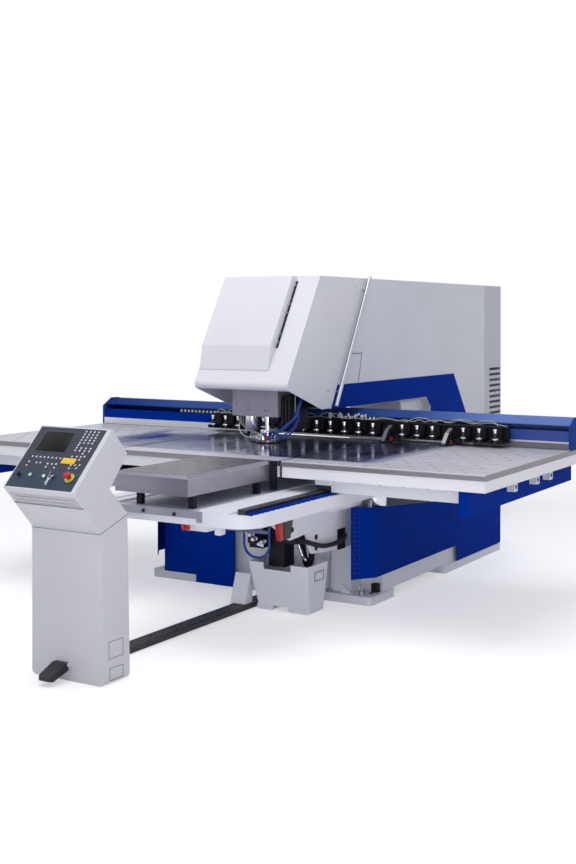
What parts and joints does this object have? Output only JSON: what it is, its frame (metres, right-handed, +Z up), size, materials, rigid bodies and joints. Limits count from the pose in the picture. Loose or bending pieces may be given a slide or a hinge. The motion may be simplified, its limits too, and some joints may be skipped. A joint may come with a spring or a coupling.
{
  "type": "cnc punch press",
  "caption": "CNC punching machine with a white and blue C-frame, steel work tables, a linear tool magazine on the cross rail and a console.",
  "frame": {"origin": "centre of the four floor anchor holes, at floor level", "axes": "+X along the cross rail to the right as seen from the operator, +Y towards the back, +Z up"},
  "size_m": [4.294, 6.56, 2.3623],
  "materials": {
    "white_paint": "satin",
    "blue_paint": "satin",
    "light_blue_paint": "satin",
    "grey_paint": "satin",
    "black_paint": "satin",
    "table_steel": "satin",
    "ground_steel": "satin",
    "bright_chrome": "polished",
    "black_plastic": "matte",
    "magazine_plastic": "matte",
    "panel_plastic": "matte",
    "blue_hose": "matte",
    "red_plastic": "gloss",
    "white_plastic": "gloss",
    "green_plastic": "gloss",
    "hose_rubber": "matte"
  },
  "bodies": {
    "machine": {"base_frame": "white_paint", "base_skirts": "blue_paint", "levelling_feet": "black_paint", "c_frame": "white_paint", "body_cover": "white_paint", "rear_cover": "white_paint", "side_stripes": "blue_paint", "hood": "white_paint", "grab_rail": "ground_steel", "head_block": "grey_paint", "ram_cylinder": "grey_paint", "stripper_plate": "ground_steel", "valve_blocks": "black_paint", "blue_hoses": "blue_hose", "centre_table": "table_steel", "table_posts": "black_paint", "lower_arm": "white_paint", "platform_plate": "table_steel", "y_rails": "black_paint", "rail_strips": "blue_paint", "front_table": "table_steel", "console_column": "white_paint", "console_head": "white_paint", "control_panel": "panel_plastic", "chip_bin": "white_paint", "duct_cover": "white_paint", "cable_duct": "black_paint", "pump": "bright_chrome", "chip_chute": "black_paint", "arm_hoses": "hose_rubber", "supply_couplings": "red_plastic"},
    "y_carriage": {"table_right": "table_steel", "table_left": "table_steel", "table_frames": "white_paint", "side_beams": "blue_paint", "carriages": "black_paint", "cross_beam": "blue_paint", "guide_strip": "ground_steel", "beam_cover": "light_blue_paint", "beam_end_caps": "blue_paint", "cable_chain": "black_plastic"},
    "x_carriage": {"magazine_rail": "black_paint", "cartridges": "magazine_plastic", "magazine_tools": "bright_chrome", "clamp_bodies": "ground_steel", "magazine_hoses": "black_plastic"},
    "jaws": {"clamp_jaws": "ground_steel"},
    "ram_body": {"ram": "bright_chrome"},
    "tool": {"tool_holder": "ground_steel", "punch": "ground_steel"},
    "die": {"die_holder": "ground_steel"},
    "door": {"front_door": "white_paint"},
    "flap": {"side_flap": "white_paint"},
    "drawer": {"keyboard_drawer": "white_paint"},
    "selector": {"selector_knob": "black_plastic"},
    "start_button": {"green_button": "green_plastic"},
    "stop_button": {"white_button": "white_plastic"},
    "key": {"key_switch": "bright_chrome"},
    "e_stop": {"e_stop_button": "red_plastic"},
    "pedal": {"foot_pedal": "black_plastic"}
  },
  "joints": [
    {"name": "y_axis", "type": "slide", "parent": "machine", "child": "y_carriage", "axis": [0, 1, 0], "range_m": [-0.3, 0.74]},
    {"name": "x_axis", "type": "slide", "parent": "y_carriage", "child": "x_carriage", "axis": [1, 0, 0], "range_m": [-1.644, 0.856]},
    {"name": "clamp_lift", "type": "hinge", "parent": "x_carriage", "child": "jaws", "pos_m": [-0.4705, -0.515, 1.168], "axis": [-1, 0, 0], "range_deg": [0, 8]},
    {"name": "ram_stroke", "type": "slide", "parent": "machine", "child": "ram_body", "axis": [0, 0, 1], "range_m": [-0.027, 0]},
    {"name": "tool_rotation", "type": "hinge", "parent": "ram_body", "child": "tool", "pos_m": [0, -1, 1.166], "axis": [0, 0, 1], "continuous": true},
    {"name": "die_rotation", "type": "hinge", "parent": "machine", "child": "die", "pos_m": [0, -1, 1.07], "axis": [0, 0, 1], "continuous": true},
    {"name": "door_hinge", "type": "hinge", "parent": "machine", "child": "door", "pos_m": [-0.391, -1.19482, 1.89738], "axis": [0, -0.5107, -0.8598], "range_deg": [0, 90]},
    {"name": "flap_hinge", "type": "hinge", "parent": "machine", "child": "flap", "pos_m": [0.4113, -0.492, 1.76], "axis": [0, -1, 0], "range_deg": [0, 45]},
    {"name": "drawer_slide", "type": "slide", "parent": "machine", "child": "drawer", "axis": [0, -1, 0], "range_m": [0, 0.2]},
    {"name": "selector_turn", "type": "hinge", "parent": "machine", "child": "selector", "pos_m": [0.09902, -3.75583, 1.15739], "axis": [0, -0.7138, 0.7004], "range_deg": [-45, 45]},
    {"name": "start_press", "type": "slide", "parent": "machine", "child": "start_button", "axis": [0, 0.7138, -0.7004], "range_m": [0, 0.003], "stiffness_N_per_m": 400, "springref_m": -0.003},
    {"name": "stop_press", "type": "slide", "parent": "machine", "child": "stop_button", "axis": [0, 0.7138, -0.7004], "range_m": [0, 0.003], "stiffness_N_per_m": 400, "springref_m": -0.003},
    {"name": "key_turn", "type": "hinge", "parent": "machine", "child": "key", "pos_m": [0.34484, -3.75114, 1.16218], "axis": [0, -0.7138, 0.7004], "range_deg": [0, 90]},
    {"name": "e_stop_press", "type": "slide", "parent": "machine", "child": "e_stop", "axis": [0, 0.7138, -0.7004], "range_m": [0, 0.004]},
    {"name": "pedal_hinge", "type": "hinge", "parent": "machine", "child": "pedal", "pos_m": [0.222, -3.6, 0.092], "axis": [1, 0, 0], "range_deg": [0, 8], "stiffness_Nm_per_rad": 15, "springref_deg": -10.03}
  ],
  "couplings": [
    {"joint": "die_rotation", "follows": "tool_rotation", "ratio": 1}
  ]
}
